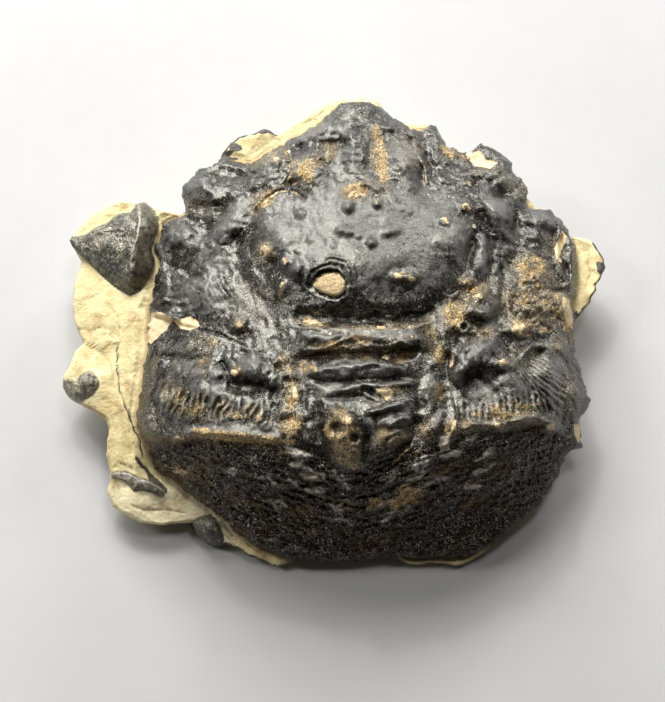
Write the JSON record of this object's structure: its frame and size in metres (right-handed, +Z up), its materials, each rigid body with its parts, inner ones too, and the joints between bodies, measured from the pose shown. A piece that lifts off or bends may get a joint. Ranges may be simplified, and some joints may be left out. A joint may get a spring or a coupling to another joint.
{
  "type": "fossil crab",
  "caption": "Domed fossil crab carapace on a loose block of pale matrix, with a claw segment and scraps of leg shell; rests on its flat underside.",
  "frame": {"origin": "centre of the bounding box in plan, on the flat underside of the matrix", "axes": "+X to the crab's right-hand side of the drawing, away from the claw segment; +Y towards the carapace's pointed front edge; +Z up"},
  "size_m": [0.0846, 0.0746, 0.0271],
  "materials": {
    "shell_black": "fossil shell, near-black, glossy and pitted, with brown and cream stains",
    "stone_cream": "matte cream limestone or mudstone",
    "leg_grey": "worn grey-olive fossil shell, satin"
  },
  "bodies": {
    "root": {"carapace": "shell_black", "matrix": "stone_cream", "left_claw_segment": "leg_grey", "left_leg_end": "leg_grey", "leg_sliver": "leg_grey", "lower_leg_piece": "leg_grey"}
  },
  "joints": []
}
